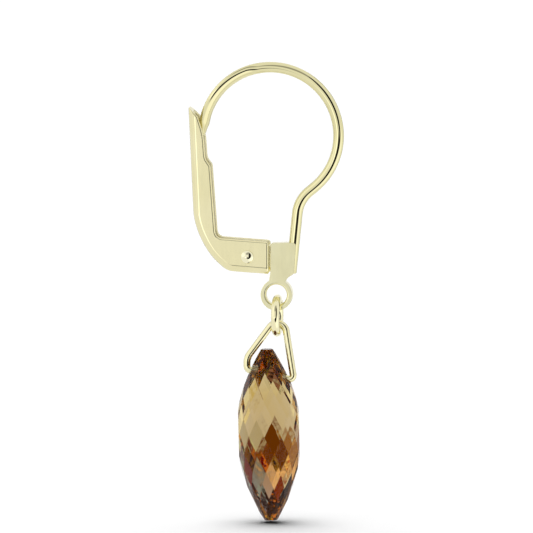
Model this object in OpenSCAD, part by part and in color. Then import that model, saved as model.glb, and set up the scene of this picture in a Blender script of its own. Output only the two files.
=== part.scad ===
// Lever-back drop earring: a round wire ear hook with a flat front plate and eyelet, a folded
// channel lever that closes over the tip of the wire, and a faceted briolette of smoky quartz that
// hangs from a jump ring and a three-cornered wire bail.
// Units are millimetres. The origin is the underside of the wire at the top of the hook, where it
// rests in the ear lobe. X is across the front view to the right, Y goes back and Z is up.

/* [Ear wire] */
// Thickness of the round ear wire
wire_d = 0.82; // [0.7:0.02:0.82]
// Radius of the hook's big bend, to the middle of the wire
hook_r = 5.2; // [5.1:0.05:5.3]
// Angle at which the wire comes out of the big bend, from straight down
cross_lean = 50; // [48:1:52]
// Angle of the wire's lower leg, from straight down
leg_lean = 5.8; // [5:0.1:6.5]
// Radius of the small reverse bend, to the middle of the wire
reverse_r = 2.5; // [2.3:0.1:2.7]
// Straight wire between the two bends
cross_len = 0.57; // [0.4:0.01:0.7]

/* [Front plate and eyelet] */
// Thickness of the front plate and of its hinge lug
plate_t = 0.9; // [0.84:0.02:0.92]
// Radius of the rounded hinge lug
lug_r = 0.86; // [0.7:0.02:0.88]
// Outer radius of the eyelet
eyelet_r = 1.21; // [1.19:0.01:1.28]
// Radius of the eyelet's hole
eyelet_hole_r = 0.8; // [0.78:0.01:0.82]
// Thickness of the eyelet
eyelet_t = 0.8; // [0.7:0.02:0.82]
// Width of the eyelet's bevelled edges
eyelet_bevel = 0.14; // [0.1:0.01:0.16]

/* [Lever] */
// Width of the folded channel, over both walls
lever_w = 1.72; // [1.68:0.02:1.8]
// Width between the channel's walls
channel_w = 1; // [1:0.01:1.04]
// Thickness of the channel's back
back_t = 0.36; // [0.3:0.01:0.36]
// Radius of the rivet holes
rivet_hole_r = 0.33; // [0.33:0.01:0.36]

/* [Rivet] */
// Radius of the rivet's shank
rivet_r = 0.3; // [0.28:0.01:0.31]
// Radius of the rivet's domed heads
head_r = 0.51; // [0.45:0.01:0.55]
// Height of the domed heads
head_h = 0.24; // [0.2:0.01:0.3]
// Gap between a head and the lever's wall
head_gap = 0.03; // [0.02:0.01:0.05]

/* [Jump ring] */
// Radius of the jump ring, to the middle of its wire
ring_r = 1.3; // [1.28:0.01:1.32]
// Thickness of the jump ring's wire
ring_wire_d = 0.64; // [0.58:0.02:0.64]

/* [Bail] */
// Thickness of the bail's wire
bail_wire_d = 0.54; // [0.46:0.02:0.54]
// Radius of the bail's top bend, to the middle of its wire
bail_top_r = 0.7; // [0.7:0.01:0.74]
// Tilt of the drilled hole, from level
drill_tilt = 12.1; // [11.5:0.1:12.5]
// Radius of the two holes drilled in the stone
drill_r = 0.36; // [0.35:0.01:0.37]

/* [Stone] */
// Facets in one row round the stone
facets_round = 12; // [12:2:14]
// Turn of the facets about the stone's axis
facet_turn = 29.4; // [0:0.1:30]
// Radius of the corners in the row above the widest one
belt_r = 2.43; // [2.42:0.01:2.44]
// Radius of the widest row of corners
widest_r = 2.51; // [2.5:0.005:2.52]
// Reach of the two long flats from the stone's axis
side_reach = 2.32; // [2.3:0.01:2.34]
// Lean of the stone's axis, its lower end to the right
stone_lean = 1.4; // [1:0.1:1.6]

/* [Hidden] */

round_fn = 48;

// How far straight wire runs on into a bend, and how much thinner than the bend it is there
bar_lap = 0.05;
bar_step = 0.006;

// How much longer a cutter is than the metal that it goes through
cut_over = 1;
gold = [0.88, 0.82, 0.6];
dark_gold = [0.78, 0.72, 0.5];
smoke = [0.42, 0.24, 0.1, 0.8];

// Places in the front view, as [across, up]
hook_c = [0, wire_d / 2 - hook_r];
rivet_c = [-1.74, -14.11];
eyelet_c = [0.46, -17.06];
ring_c = [0.48, -18.69];
bail_c = [ring_c[0], ring_c[1] - ring_r];
drill_c = [-0.06, -23.266];
stone_top_c = [-0.32, -21.28];

// Where the wire starts to taper, as an angle round the hook's middle, and its tip
taper_angle = 171;
tip_len = 0.7;
tip_r = 0.24;

leg_bottom = -15.4;

// Corners of the front plate, each as [across, up, rounding]
plate_corners = [
    [0, -13.08, 0.08], [1.99, -13.0, 0.3], [1.83, -15.42, 0.12], [1.34, -15.7, 0.1],
    [1.17, -15.9, 0.12], [1.24, -16.15, 0], [-0.12, -16.15, 0], [-0.1, -15.85, 0.2], [0, -15.4, 0.2],
];

// Hinge lug's arm, from the rivet into the plate
lug_arm_top = -13.25;
lug_arm_bottom = -13.95;
lug_arm_end_x = 0.2;

// Corners of the channel's back, top to bottom, each as [across, up, rounding]
back_corners = [[-6.315, -2.6, 0.08], [-5.83, -13.07, 5], [-3.337, -15.261, 1], [-0.22, -15.473, 0]];

// Corners of the walls' free edge, bottom to top, each as [across, up, rounding]
edge_corners = [
    [-0.22, -12.94, 0.22], [-4.16, -12.7, 0.6], [-4.57, -7.19, 0.12], [-4.96, -6.64, 0.4],
    [-5.09, -4.8, 2.5], [-5.62, -3.3, 0.12],
];

// Where the channel's back stops short under the lug, so that the lever can turn
back_end_x = -1.3;

// How far the space between the walls is cut past the channel's outline
mouth_over = 12;
space_right_x = 1;
space_bottom_z = -16;

// Inner ends of the two drilled holes, and how far their cutters reach out past the stone
hole_ends = [-0.8, 0.7];
drill_len = 4;

// Turn of the two long flats about the stone's axis, and a size that passes all the stone
side_turn = 7;
past_stone = 40;

// Steps down from row to row of the stone's corners
row_steps = [0.74, 0.94, 1.08, 1.16, 1.26, 1.34, 1.37, 1.34, 1.28, 1.12, 0.9, 0.64];
belt_row = 5;

// Corners of the bail, each as [across, up]
bail_left_x = -1.85;
bail_left_top = [bail_left_x, -21.98];
bail_right_x = 1.77;
bail_left_round = 1.2;
left_foot_round = 0.36;
right_foot_round = 0.3;
left_pin_end = -0.9;
right_pin_end = 0.8;

function flat(p) = [p[0], p[1]];
function unit(v) = v / norm(v);
function left_of(v) = [-v[1], v[0]];
function heading(v) = atan2(v[1], v[0]);
function polar(c, r, a) = c + r * [cos(a), sin(a)];

// Angle turned at corner b of the path a, b, c: positive to the left
function turn(a, b, c) = let (u = unit(b - a), v = unit(c - b)) atan2(cross(u, v), u * v);

// Length that a rounding of radius r takes from each side of corner b
function take(a, b, c, r) = r * tan(abs(turn(a, b, c)) / 2);

// Points of the arc that rounds corner b
function arc_points(a, b, c, r, n) =
    r == 0 ? [b] :
    let (u = unit(b - a),
         w = turn(a, b, c),
         start = b - u * take(a, b, c, r),
         centre = start + sign(w) * r * left_of(u),
         from = heading(start - centre))
    [for (i = [0:n]) polar(centre, r, from + w * i / n)];

// A closed outline with every corner rounded
function rounded(corners, n = 8) =
    let (m = len(corners))
    [for (i = [0:m - 1], p = arc_points(flat(corners[(i + m - 1) % m]), flat(corners[i]),
        flat(corners[(i + 1) % m]), corners[i][2], n)) p];

// Where the lines through p and q, with directions u and v, cross
function crossing(p, u, q, v) = p + u * cross(q - p, v) / cross(u, v);

// The channel's back moved inwards by d, with its roundings kept on the same centres
function inner_back(corners, d) =
    let (m = len(corners),
         dirs = [for (i = [0:m - 2]) unit(flat(corners[i + 1]) - flat(corners[i]))],
         starts = [for (i = [0:m - 2]) flat(corners[i]) + d * left_of(dirs[i])])
    [for (i = [1:m - 2]) concat(crossing(starts[i - 1], dirs[i - 1], starts[i], dirs[i]),
        [corners[i][2] - d])];

// Height of the drilled hole's axis at a place across
function drill_z(x) = drill_c[1] - (x - drill_c[0]) * tan(drill_tilt);

// Touching point on a circle of the tangent from p: side is 1 for the one further anticlockwise
function tangent_angle(p, c, r, side) = heading(p - c) + side * acos(r / norm(p - c));

// Heights of the stone's rows of corners, counted down from its top
function row_z(k) = k == 0 ? 0 : row_z(k - 1) - row_steps[k - 1];

// Radius of each row: three rows in turn keep every four-cornered facet flat
function row_r(k) =
    k == belt_row ? belt_r :
    k == belt_row + 1 ? widest_r :
    k > belt_row ? next_r(row_r(k - 1), row_r(k - 2), row_steps[k - 1] / row_steps[k - 2]) :
    next_r(row_r(k + 1), row_r(k + 2), row_steps[k] / row_steps[k + 1]);
function next_r(near, far, ratio) = cos(180 / facets_round) * near * (1 + ratio) - ratio * far;

last_row = len(row_steps);
function stone_corner(k, j) =
    let (a = facet_turn - 90 + (j + (k % 2) / 2) * 360 / facets_round)
    [row_r(k) * cos(a), row_r(k) * sin(a), row_z(k)];
function corner_id(k, j) = k * facets_round + (j + facets_round) % facets_round;

// Draws a front view outline as a sheet of thickness t, centred on the front view's plane
module sheet(t) {
    rotate([90, 0, 0])
        linear_extrude(height = t, center = true)
            children();
}

// Round bar from a to b in the front view, which may taper to r_b: its ends run on into the bends
// that it meets, just under their surface
module bar(a, b, r, lap_a = bar_lap, lap_b = bar_lap, r_b = 0) {
    u = unit(b - a);
    start = a - lap_a * u;
    translate([start[0], 0, start[1]])
        rotate([0, 90 - heading(u), 0])
            cylinder(r1 = r - bar_step, r2 = (r_b == 0 ? r : r_b) - bar_step,
                h = norm(b - a) + lap_a + lap_b, $fn = round_fn);
}

// Round bar along an arc in the front view
module bend(c, bend_r, from, sweep, r) {
    translate([c[0], 0, c[1]])
        rotate([90, -(sweep < 0 ? from + sweep : from), 0])
            rotate_extrude(angle = abs(sweep), $fn = round_fn * 2)
                translate([bend_r, 0])
                    circle(r = r, $fn = round_fn);
}

// Round wire along straight lines with rounded corners in the front view
module bent_wire(pts, rounds, r) {
    n = len(pts);
    takes = [for (i = [0:n - 1]) i == 0 || i == n - 1 ? 0 :
        take(pts[i - 1], pts[i], pts[i + 1], rounds[i])];
    for (i = [0:n - 2]) {
        u = unit(pts[i + 1] - pts[i]);
        bar(pts[i] + u * takes[i], pts[i + 1] - u * takes[i + 1], r, bar_lap, i == n - 2 ? 0 : bar_lap);
    }
    for (i = [1:n - 2]) {
        u = unit(pts[i] - pts[i - 1]);
        w = turn(pts[i - 1], pts[i], pts[i + 1]);
        start = pts[i] - u * takes[i];
        centre = start + sign(w) * rounds[i] * left_of(u);
        bend(centre, rounds[i], heading(start - centre), w, r);
    }
}

// Pin along Y in the front view, centred on the plane
module cross_pin(c, r, len) {
    translate([c[0], 0, c[1]])
        rotate([90, 0, 0])
            cylinder(r = r, h = len, center = true, $fn = round_fn);
}

// The round wire, from its tip over the ear to its soldered end
module ear_wire() {
    r = wire_d / 2;
    bend(hook_c, hook_r, -cross_lean, taper_angle + cross_lean, r);
    taper_start = polar(hook_c, hook_r, taper_angle);
    tip = taper_start + tip_len * left_of(unit(taper_start - hook_c));
    bar(taper_start, tip, r, bar_lap, 0, tip_r);
    translate([tip[0], 0, tip[1]])
        sphere(r = tip_r - 2 * bar_step, $fn = round_fn);
    cross_start = polar(hook_c, hook_r, -cross_lean);
    cross_dir = [-sin(cross_lean), -cos(cross_lean)];
    leg_dir = [-sin(leg_lean), -cos(leg_lean)];
    cross_end = cross_start + cross_len * cross_dir;
    bar(cross_start, cross_end, r);
    reverse_c = cross_end + reverse_r * left_of(cross_dir);
    bend(reverse_c, reverse_r, 180 - cross_lean, cross_lean - leg_lean, r);
    leg_start = reverse_c - reverse_r * left_of(leg_dir);
    leg_len = (leg_start[1] - leg_bottom) / cos(leg_lean);
    bar(leg_start, leg_start + leg_len * leg_dir, r, bar_lap, 0);
}

// Flat ring with bevelled edges that the jump ring hangs in
module eyelet() {
    h = eyelet_t / 2;
    b = eyelet_bevel;
    translate([eyelet_c[0], 0, eyelet_c[1]])
        rotate([90, 0, 0])
            rotate_extrude($fn = round_fn * 2)
                polygon([
                    [eyelet_hole_r + b, -h], [eyelet_r - b, -h], [eyelet_r, b - h], [eyelet_r, h - b],
                    [eyelet_r - b, h], [eyelet_hole_r + b, h], [eyelet_hole_r, h - b],
                    [eyelet_hole_r, b - h],
                ]);
}

module ear_hook() {
    color(gold)
        difference() {
            union() {
                ear_wire();
                sheet(plate_t)
                    polygon(rounded(plate_corners));
                sheet(plate_t)
                    polygon([
                        [rivet_c[0], lug_arm_bottom], [lug_arm_end_x, lug_arm_bottom],
                        [lug_arm_end_x, lug_arm_top], [rivet_c[0], lug_arm_top],
                    ]);
                cross_pin(rivet_c, lug_r, plate_t);
                eyelet();
            }
            cross_pin(rivet_c, rivet_hole_r, plate_t + cut_over);
        }
}

// Folded channel: both walls, less the space between them
module lever() {
    inner = inner_back(back_corners, back_t);
    mouth = flat(inner[0]) - mouth_over * unit(flat(back_corners[1]) - flat(back_corners[0]));
    floor_end = crossing(flat(inner[1]), flat(back_corners[3]) - flat(back_corners[2]),
        [back_end_x, 0], [0, 1]);
    color(gold)
        difference() {
            sheet(lever_w)
                polygon(rounded(concat(back_corners, edge_corners)));
            sheet(channel_w)
                polygon(rounded([
                    concat(mouth, [0]), inner[0], inner[1], concat(floor_end, [0]),
                    [back_end_x, space_bottom_z, 0], [space_right_x, space_bottom_z, 0],
                    [space_right_x, 0, 0],
                ]));
            cross_pin(rivet_c, rivet_hole_r, lever_w + cut_over);
        }
}

// Rivet with a domed head on each side of the lever
module rivet() {
    under = lever_w / 2 + head_gap;
    dome_r = (head_r * head_r + head_h * head_h) / (2 * head_h);
    color(dark_gold) {
        cross_pin(rivet_c, rivet_r, 2 * under);
        for (side = [0, 180])
            translate([rivet_c[0], 0, rivet_c[1]])
                rotate([90 + side, 0, 0])
                    translate([0, 0, under])
                        intersection() {
                            translate([0, 0, head_h - dome_r])
                                sphere(r = dome_r, $fn = round_fn * 2);
                            cylinder(r = dome_r, h = dome_r, $fn = round_fn);
                        }
    }
}

module jump_ring() {
    color(gold)
        translate([ring_c[0], 0, ring_c[1]])
            rotate([0, 90, 0])
                rotate_extrude($fn = round_fn * 2)
                    translate([ring_r, 0])
                        circle(r = ring_wire_d / 2, $fn = round_fn);
}

// Three-cornered wire whose two ends turn in to the drilled holes
module bail() {
    r = bail_wire_d / 2;
    left_foot = [bail_left_x, drill_z(bail_left_x)];
    right_foot = [bail_right_x, drill_z(bail_right_x)];
    left_a = tangent_angle(bail_left_top, bail_c, bail_top_r, -1);
    right_a = tangent_angle(right_foot, bail_c, bail_top_r, 1);
    left_touch = polar(bail_c, bail_top_r, left_a);
    right_touch = polar(bail_c, bail_top_r, right_a);
    top_sweep = (left_a - right_a + 720) % 360;
    color(gold) {
        bend(bail_c, bail_top_r, right_a, top_sweep, r);
        bent_wire([left_touch, bail_left_top, left_foot, [left_pin_end, drill_z(left_pin_end)]],
            [0, bail_left_round, left_foot_round, 0], r);
        bent_wire([right_touch, right_foot, [right_pin_end, drill_z(right_pin_end)]],
            [0, right_foot_round, 0], r);
    }
}

// Briolette: staggered rows of flat four-cornered facets between two small flats, with a long
// flat down each side and a hole for the bail in each shoulder
module stone() {
    points = [for (k = [0:last_row], j = [0:facets_round - 1]) stone_corner(k, j)];
    kites = [for (k = [1:last_row - 1], j = [0:facets_round - 1])
        let (side = k % 2)
        [corner_id(k - 1, j + side), corner_id(k, j + 1), corner_id(k + 1, j + side),
            corner_id(k, j)]];
    top_facets = [for (j = [0:facets_round - 1])
        [corner_id(0, j), corner_id(0, j + 1), corner_id(1, j)]];
    bottom_side = last_row % 2;
    bottom_facets = [for (j = [0:facets_round - 1])
        [corner_id(last_row, j), corner_id(last_row - 1, j + bottom_side), corner_id(last_row, j + 1)]];
    top_flat = [[for (j = [facets_round - 1:-1:0]) corner_id(0, j)]];
    bottom_flat = [[for (j = [0:facets_round - 1]) corner_id(last_row, j)]];
    color(smoke)
        difference() {
            translate([stone_top_c[0], 0, stone_top_c[1]])
                rotate([0, -stone_lean, 0])
                    intersection() {
                        polyhedron(points,
                            concat(kites, top_facets, bottom_facets, top_flat, bottom_flat));
                        rotate([0, 0, side_turn])
                            cube([2 * side_reach, past_stone, past_stone], center = true);
                    }
            for (side = [-1, 1])
                let (end = side < 0 ? hole_ends[0] : hole_ends[1])
                    translate([end, 0, drill_z(end)])
                        rotate([0, drill_tilt + 90 * side, 0])
                            cylinder(r = drill_r, h = drill_len, $fn = round_fn);
        }
}

ear_hook();
lever();
rivet();
jump_ring();
bail();
stone();
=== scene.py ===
"""Dresses the lever-back drop earring: polished gold wire and sheet, and a faceted smoky quartz.

Every piece is modelled in millimetres in the part's own frame, and scaled to metres when it is
done. X is across the front view to the right, Y goes back and Z is up. The origin is the underside
of the wire at the top of the hook.
"""

import logging
import math
from collections.abc import Callable
from dataclasses import dataclass, field
from enum import Enum

import bmesh
import bpy
from bpy.types import Material, Node, NodeSocket, NodeTree, Object, World
from mathutils import Matrix, Vector


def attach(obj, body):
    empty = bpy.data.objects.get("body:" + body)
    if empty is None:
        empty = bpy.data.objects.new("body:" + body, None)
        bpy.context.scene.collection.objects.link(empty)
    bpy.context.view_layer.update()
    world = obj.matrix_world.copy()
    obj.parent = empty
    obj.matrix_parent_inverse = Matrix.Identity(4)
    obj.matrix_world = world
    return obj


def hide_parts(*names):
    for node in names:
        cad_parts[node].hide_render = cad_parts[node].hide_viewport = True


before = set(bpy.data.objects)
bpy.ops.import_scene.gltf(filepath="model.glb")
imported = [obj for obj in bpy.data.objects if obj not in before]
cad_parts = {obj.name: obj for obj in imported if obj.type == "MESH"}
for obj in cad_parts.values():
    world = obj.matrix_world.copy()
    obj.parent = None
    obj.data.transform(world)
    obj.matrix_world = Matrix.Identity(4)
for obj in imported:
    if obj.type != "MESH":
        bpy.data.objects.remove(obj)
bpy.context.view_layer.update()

LOG = logging.getLogger("earring")
METRES_PER_MM = 0.001

Pair = tuple[float, float]
Triple = tuple[float, float, float]
Band = tuple[float, float, float, float]

# Where the lever's hinge pin crosses the front view
HINGE_AT: Pair = (-1.74, -14.11)

# The face that a single corner is made from, and the reach within which a corner is taken or merged
SEED_SIZE = 0.1
SAME_CORNER = 0.01
MERGE_GAP = 0.0005

# Edges that bend less than this many degrees are shaded smooth
SMOOTH_WIRE = 50.0
SMOOTH_LINK = 40.0
SMOOTH_SHEET = 35.0

# The fewest steps that a bend of the wire takes
FEWEST_STEPS = 3

# The colour sockets of a Mix node, and the least depth that a direction is divided by
MIX_COLOUR_INPUTS = (6, 7)
MIX_COLOUR_OUTPUT = 2
LEAST_DEPTH = 0.001


class Body(Enum):
    """The bodies of the part's frame."""

    HOOK = "hook"
    LEVER = "lever"
    JUMP_RING = "jump_ring"
    BAIL = "bail"
    STONE = "stone"


class Slot(Enum):
    """The record's material slots."""

    GOLD = "gold"
    QUARTZ = "quartz"


class Pick(Enum):
    """What a selection picks."""

    VERTS = "VERT"
    EDGES = "EDGE"
    FACES = "FACE"


class Turn(Enum):
    """Which way a front view turn goes: to the left is anticlockwise."""

    LEFT = 1
    RIGHT = -1


def in_front_view(across: float, up: float, back: float = 0.0) -> Vector:
    """Gives the point at these front view measures, in millimetres."""
    return Vector((across, back, up))


def heading_of(start: Pair, end: Pair) -> float:
    """Gives the direction from start to end in the front view, in degrees from the right."""
    return math.degrees(math.atan2(end[1] - start[1], end[0] - start[0]))


def point_at(centre: Pair, radius: float, degrees: float) -> Pair:
    """Gives the front view point on a circle at an angle from the right."""
    turn = math.radians(degrees)
    return (centre[0] + radius * math.cos(turn), centre[1] + radius * math.sin(turn))


def distance(start: Pair, end: Pair) -> float:
    """Gives the length from start to end in the front view."""
    return math.hypot(end[0] - start[0], end[1] - start[1])


def half_turned(degrees: float) -> float:
    """Brings an angle into the range from -180 to 180 degrees."""
    return (degrees + 180.0) % 360.0 - 180.0


def way(azimuth: float, elevation: float) -> Vector:
    """Gives a direction from its azimuth and elevation in degrees, azimuth 0 being the front.

    Args:
        azimuth: The direction's turn to the right of the front.
        elevation: How far it rises from the level.

    Returns:
        The direction, one unit long.
    """
    turn = math.radians(azimuth)
    rise = math.radians(elevation)
    return Vector((math.sin(turn) * math.cos(rise), -math.cos(turn) * math.cos(rise),
        math.sin(rise)))


def is_cap_rim(edge: bmesh.types.BMEdge) -> bool:
    """Tells whether an edge bounds a flat end, which has more than four corners."""
    return any(len(face.verts) > 4 for face in edge.link_faces)


def clear_bench() -> None:
    """Leaves edit mode and deselects everything."""
    if bpy.context.mode != "OBJECT":
        bpy.ops.object.mode_set(mode="OBJECT")
    bpy.ops.object.select_all(action="DESELECT")


class Work:
    """One piece of work on the bench, shaped with Blender's operators in millimetres."""

    def __init__(self, name: str) -> None:
        """Takes the name of the piece, and puts nothing on the bench yet."""
        self.name = name
        self.piece: Object | None = None

    def _take(self) -> None:
        """Takes the primitive that was just added as the piece, open for editing and selected."""
        self.piece = bpy.context.active_object
        self.piece.name = self.name
        self.piece.data.name = self.name
        bpy.ops.object.mode_set(mode="EDIT")
        bpy.ops.mesh.select_mode(type="VERT")
        bpy.ops.mesh.select_all(action="SELECT")

    def start_point(self, at: Vector) -> None:
        """Starts from a single corner, which the pen draws on from.

        Args:
            at: The corner's place.
        """
        clear_bench()
        bpy.ops.mesh.primitive_plane_add(size=SEED_SIZE, location=at)
        self._take()
        bpy.ops.mesh.merge(type="CENTER")

    def start_circle(self, at: Vector, radius: float, sides: int, tilt: Triple) -> None:
        """Starts from an open circle.

        Args:
            at: The circle's middle.
            radius: The circle's radius.
            sides: How many sides it has.
            tilt: Its turn about X, Y and Z, in radians.
        """
        clear_bench()
        bpy.ops.mesh.primitive_circle_add(vertices=sides, radius=radius, location=at, rotation=tilt)
        self._take()

    def start_sheet(self, at: Vector, width: float, depth: float) -> None:
        """Starts from a flat four-cornered face that lies level.

        Args:
            at: The face's middle.
            width: Its size along X.
            depth: Its size along Y.
        """
        clear_bench()
        bpy.ops.mesh.primitive_plane_add(size=1.0, location=at)
        self._take()
        bpy.ops.transform.resize(value=(width, depth, 1.0), center_override=at)

    def start_rod(self, at: Vector, radius: float, length: float, tilt: Triple, sides: int) -> None:
        """Starts from a closed rod.

        Args:
            at: The rod's middle.
            radius: Its radius.
            length: Its length.
            tilt: Its turn about X, Y and Z from upright, in radians.
            sides: How many sides it has.
        """
        clear_bench()
        bpy.ops.mesh.primitive_cylinder_add(
            vertices=sides, radius=radius, depth=length, location=at, rotation=tilt)
        self._take()

    def pick(self, kind: Pick, test: Callable[[Vector, object], bool]) -> None:
        """Selects the corners, edges or faces that pass a test, and nothing else.

        Args:
            kind: What to pick.
            test: Gets the element's middle in the part's frame and the element itself.
        """
        bpy.ops.mesh.select_mode(type=kind.value)
        bpy.ops.mesh.select_all(action="DESELECT")
        shape = bmesh.from_edit_mesh(self.piece.data)
        place = self.piece.matrix_world
        groups = {Pick.VERTS: shape.verts, Pick.EDGES: shape.edges, Pick.FACES: shape.faces}
        for element in groups[kind]:
            corners = [element] if kind is Pick.VERTS else list(element.verts)
            middle = sum((place @ corner.co for corner in corners), Vector()) / len(corners)
            if test(middle, element):
                element.select_set(True)
        shape.select_flush_mode()
        bmesh.update_edit_mesh(self.piece.data)

    def pick_all(self) -> None:
        """Selects the whole piece."""
        bpy.ops.mesh.select_all(action="SELECT")

    def draw_to(self, across: float, up: float, back: float = 0.0) -> None:
        """Draws a straight edge from the selected corner to a place.

        Args:
            across: The place's X.
            up: The place's Z.
            back: The place's Y.
        """
        shape = bmesh.from_edit_mesh(self.piece.data)
        here = next(self.piece.matrix_world @ v.co for v in shape.verts if v.select)
        self.pull(Vector((across, back, up)) - here)

    def pull(self, move: Vector) -> None:
        """Extrudes what is selected along a straight move."""
        bpy.ops.mesh.extrude_region_move(TRANSFORM_OT_translate={"value": move})

    def swell(self, factor: float, about: Vector) -> None:
        """Scales what is selected about a point."""
        bpy.ops.transform.resize(value=(factor, factor, factor), center_override=about)

    def spin(self, about: Vector, axis: Triple, degrees: float, steps: int) -> None:
        """Spins what is selected round an axis.

        Args:
            about: A point on the axis.
            axis: The axis's direction.
            degrees: How far it turns.
            steps: How many steps it takes.
        """
        bpy.ops.mesh.spin(steps=steps, angle=math.radians(degrees), center=about, axis=axis)

    def round_corners(self, radius: float, steps: int) -> None:
        """Rounds the selected corners of an outline or a section.

        Args:
            radius: How far from the corner the rounding starts.
            steps: How many sides the rounding has.
        """
        bpy.ops.mesh.bevel(offset=radius, segments=steps, affect="VERTICES", clamp_overlap=False)

    def round_outline(self, corners: list[Triple], steps: int = 6) -> None:
        """Rounds the corners of an outline.

        Args:
            corners: Each corner's X and Z, and how far from it the rounding starts.
            steps: How many sides each rounding has.
        """
        for across, up, radius in corners:
            self.pick(Pick.VERTS, lambda middle, corner: math.hypot(
                middle.x - across, middle.z - up) < SAME_CORNER)
            self.round_corners(radius, steps)

    def fill_outline(self) -> None:
        """Fills the outline with one face."""
        self.pick_all()
        bpy.ops.mesh.edge_face_add()

    def pull_all(self, move: Vector) -> None:
        """Gives a flat face its thickness, and turns the faces outwards.

        Args:
            move: The way from this side to the other.
        """
        self.pick_all()
        self.pull(move)
        self.tidy()

    def join(self, other: "Work") -> None:
        """Joins another piece of work to this one, and opens it for editing.

        Args:
            other: The piece that becomes a part of this one.
        """
        clear_bench()
        other.piece.select_set(True)
        self.piece.select_set(True)
        bpy.context.view_layer.objects.active = self.piece
        bpy.ops.object.join()
        bpy.ops.object.mode_set(mode="EDIT")

    def round_edges(self, radius: float, steps: int) -> None:
        """Rounds the selected edges.

        Args:
            radius: The size of the rounding.
            steps: How many sides the rounding has.
        """
        bpy.ops.mesh.bevel(offset=radius, segments=steps, affect="EDGES", clamp_overlap=True)

    def face_out(self) -> None:
        """Turns the faces outwards."""
        self.pick_all()
        bpy.ops.mesh.normals_make_consistent(inside=False)

    def tidy(self) -> None:
        """Merges doubled corners and turns the faces outwards."""
        self.pick_all()
        bpy.ops.mesh.remove_doubles(threshold=MERGE_GAP)
        self.face_out()

    def cap_ends(self) -> None:
        """Closes every open end, and turns the faces outwards."""
        self.pick_all()
        bpy.ops.mesh.fill_holes(sides=0)
        self.tidy()

    def round_ends(self, radius: float, steps: int, below: float = math.inf) -> None:
        """Rounds the rim of each flat end.

        Args:
            radius: The size of the rounding.
            steps: How many sides the rounding has.
            below: The height that an end has to lie under.
        """
        self.pick(Pick.EDGES, lambda middle, edge: middle.z < below and is_cap_rim(edge))
        self.round_edges(radius, steps)

    def lay_down(self) -> None:
        """Leaves edit mode, with the piece alone selected."""
        clear_bench()
        self.piece.select_set(True)
        bpy.context.view_layer.objects.active = self.piece

    def bake_place(self) -> None:
        """Puts the piece's place, turn and size into its mesh."""
        self.lay_down()
        bpy.ops.object.transform_apply(location=True, rotation=True, scale=True)

    def bring_to_metres(self) -> Object:
        """Brings the piece from millimetres to metres.

        Returns:
            The finished piece, unturned at the origin.
        """
        self.lay_down()
        self.piece.scale = (METRES_PER_MM,) * 3
        bpy.ops.object.transform_apply(location=False, rotation=False, scale=True)
        clear_bench()
        return self.piece

    def add_slots(self, count: int) -> None:
        """Gives the piece empty material slots, the first of which every face has."""
        for _ in range(count):
            self.piece.data.materials.append(None)

    def apply(self, kind: str, **settings: object) -> None:
        """Adds a modifier, sets it up and applies it.

        Args:
            kind: Blender's name for the modifier's type.
            **settings: The modifier's settings by name.
        """
        self.lay_down()
        modifier = self.piece.modifiers.new(kind.title(), kind)
        for name, value in settings.items():
            setattr(modifier, name, value)
        bpy.ops.object.modifier_apply(modifier=modifier.name)

    def cut_with(self, cutter: "Work") -> None:
        """Takes another piece of work away from this one, and throws that one away.

        Args:
            cutter: The piece whose room is cut out.
        """
        cutter.bake_place()
        self.bake_place()
        self.apply("BOOLEAN", operation="DIFFERENCE", object=cutter.piece, solver="EXACT")
        bpy.data.objects.remove(cutter.piece, do_unlink=True)

    def finish(self, smooth_below: float) -> Object:
        """Smooths the shading, brings the piece to metres and leaves it unturned at the origin.

        Args:
            smooth_below: Edges that bend less than this many degrees are shaded smooth.

        Returns:
            The finished piece.
        """
        self.bake_place()
        bpy.ops.object.shade_smooth_by_angle(angle=math.radians(smooth_below))
        self.apply("WEIGHTED_NORMAL", keep_sharp=True, weight=100)
        return self.bring_to_metres()


def cross_bore(at: Pair, radius: float, length: float, sides: int) -> Work:
    """Gives the rod that bores a hole straight back through the front view.

    Args:
        at: Where the hole crosses the front view.
        radius: Its radius.
        length: The rod's length.
        sides: How many sides it has.

    Returns:
        The rod.
    """
    bore = Work("bore")
    bore.start_rod(in_front_view(*at), radius, length, (math.radians(90.0), 0.0, 0.0), sides)
    return bore


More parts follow.
